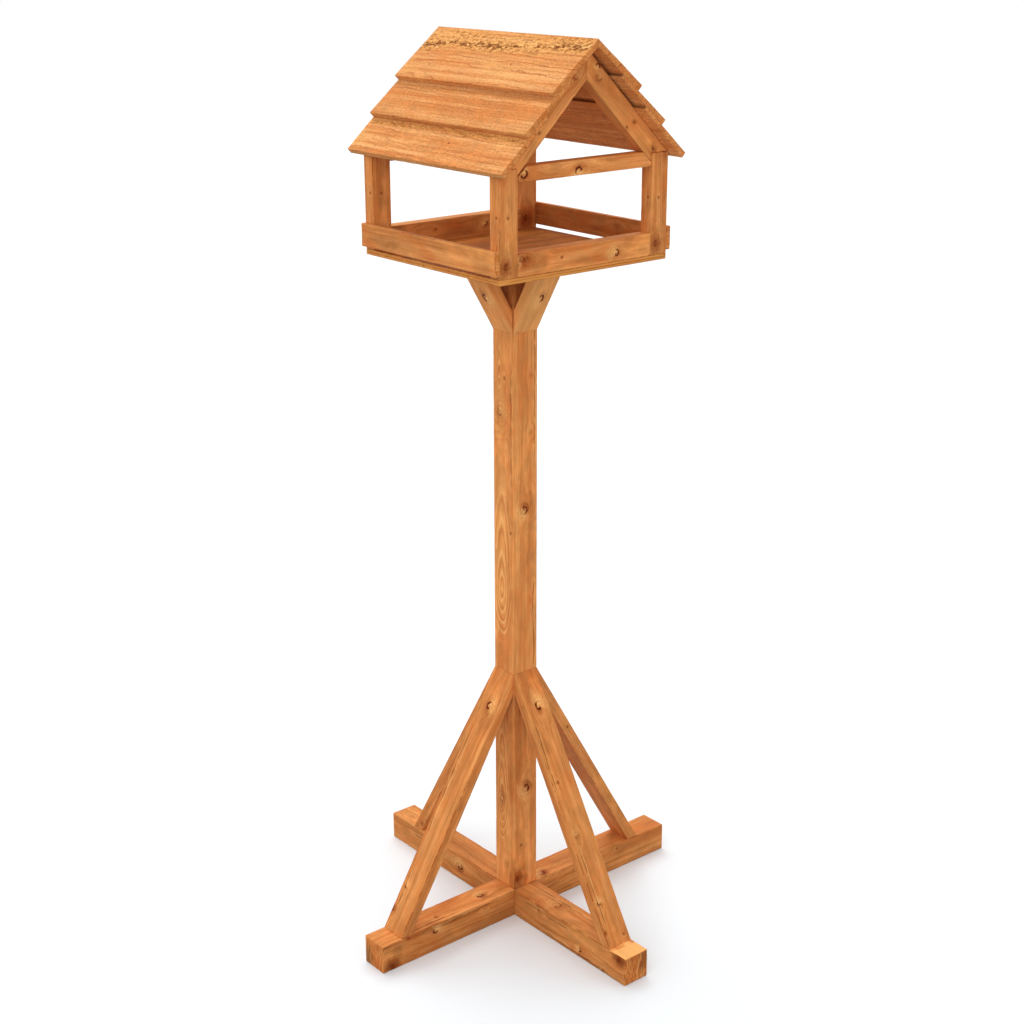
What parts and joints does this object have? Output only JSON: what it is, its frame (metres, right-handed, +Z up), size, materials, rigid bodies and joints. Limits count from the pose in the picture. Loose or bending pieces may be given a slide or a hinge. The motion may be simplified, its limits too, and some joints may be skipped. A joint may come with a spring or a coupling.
{
  "type": "bird table",
  "caption": "Free-standing timber bird table: a square pole on a braced cross foot carries an open tray under a gable roof of lapped boards.",
  "frame": {"origin": "on the ground, at the middle of the outline of the cross foot", "axes": "+Z up; +X to the right along the ridge of the roof; +Y to the back"},
  "size_m": [0.745, 0.745, 1.7341],
  "materials": {
    "pine": "golden brown stained pine, satin",
    "plywood": "stained plywood, satin",
    "roof_boards": "sawn softwood boards, matt"
  },
  "bodies": {
    "root": {"lower_foot_beam": "pine", "upper_foot_beam": "pine", "pole": "pine", "front_foot_brace": "pine", "back_foot_brace": "pine", "left_foot_brace": "pine", "right_foot_brace": "pine", "front_bracket": "pine", "back_bracket": "pine", "left_bracket": "pine", "right_bracket": "pine", "tray_floor": "plywood", "front_left_post": "pine", "front_right_post": "pine", "back_left_post": "pine", "back_right_post": "pine", "front_rail": "pine", "back_rail": "pine", "left_rail": "pine", "right_rail": "pine", "left_tie": "pine", "right_tie": "pine", "front_left_rafter": "pine", "front_right_rafter": "pine", "back_left_rafter": "pine", "back_right_rafter": "pine", "front_low_board": "roof_boards", "front_middle_board": "roof_boards", "front_top_board": "roof_boards", "back_low_board": "roof_boards", "back_middle_board": "roof_boards", "back_top_board": "roof_boards"}
  },
  "joints": []
}
